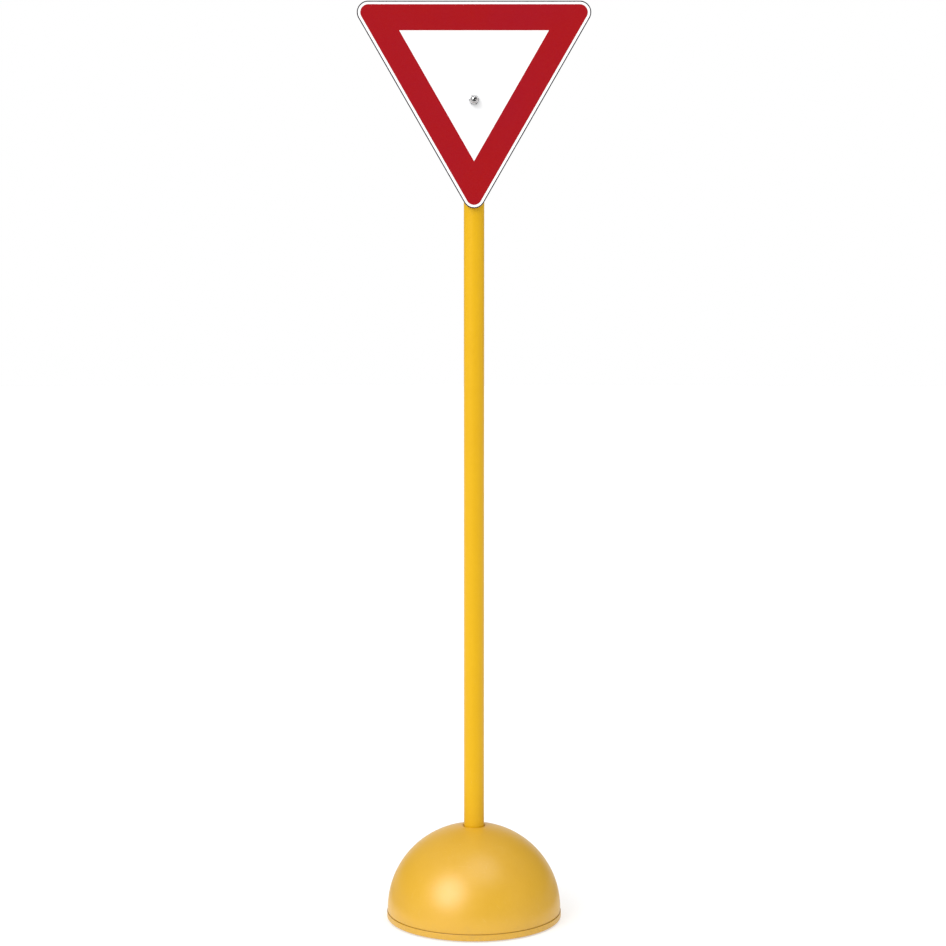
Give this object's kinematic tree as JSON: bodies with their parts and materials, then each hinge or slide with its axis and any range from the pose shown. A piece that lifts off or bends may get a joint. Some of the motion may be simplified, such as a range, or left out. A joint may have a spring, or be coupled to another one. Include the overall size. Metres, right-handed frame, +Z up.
{
  "type": "give-way signpost",
  "caption": "Free-standing triangular give-way sign bolted to a round pole that lifts and turns in a domed, weighted foot.",
  "frame": {"origin": "on the pole's axis at floor level, under the four rubber feet", "axes": "+Z up along the pole, sign face towards -Y, +X to the right of someone who looks at the sign face"},
  "size_m": [0.338, 0.26, 1.35],
  "materials": {
    "plate_aluminium": "mill-finished sheet, light haze and fine scratches",
    "white_sheeting": "white retroreflective film",
    "contour_black": "dark printed line on film",
    "border_red": "translucent red film",
    "zinc_steel": "bright zinc-plated steel",
    "nut_steel": "polished stainless steel",
    "saddle_black": "black moulded nylon",
    "pole_yellow": "satin powder coat on steel tube",
    "plug_black": "black moulded polyethylene",
    "foot_yellow": "satin moulded plastic",
    "foot_rubber": "black rubber",
    "socket_steel": "galvanised steel",
    "liner_white": "natural nylon",
    "concrete": "cast concrete"
  },
  "bodies": {
    "foot": {"base_dome": "foot_yellow", "base_pan": "foot_yellow", "pan_screws": "zinc_steel", "rubber_feet": "foot_rubber", "foot_screws": "zinc_steel", "socket_plate": "socket_steel", "socket_sleeve": "socket_steel", "ballast_block": "concrete"},
    "liner": {"socket_liner": "liner_white"},
    "pole": {"pole_tube": "pole_yellow", "pole_top_plug": "plug_black", "pole_foot_plug": "plug_black", "sign_bolt": "zinc_steel", "cap_nut": "nut_steel", "front_saddle": "saddle_black", "rear_saddle": "saddle_black"},
    "sign": {"sign_plate": "plate_aluminium", "reflective_sheeting": "white_sheeting", "contour_line": "contour_black", "red_border": "border_red"}
  },
  "joints": [
    {"name": "pole_turn", "type": "hinge", "parent": "foot", "child": "liner", "pos_m": [0, 0, 0.07], "axis": [0, 0, 1], "continuous": true},
    {"name": "pole_lift", "type": "slide", "parent": "liner", "child": "pole", "axis": [0, 0, 1], "range_m": [0, 0.13]},
    {"name": "sign_swivel", "type": "hinge", "parent": "pole", "child": "sign", "pos_m": [0, -0.019, 1.208], "axis": [0, -1, 0], "continuous": true}
  ]
}
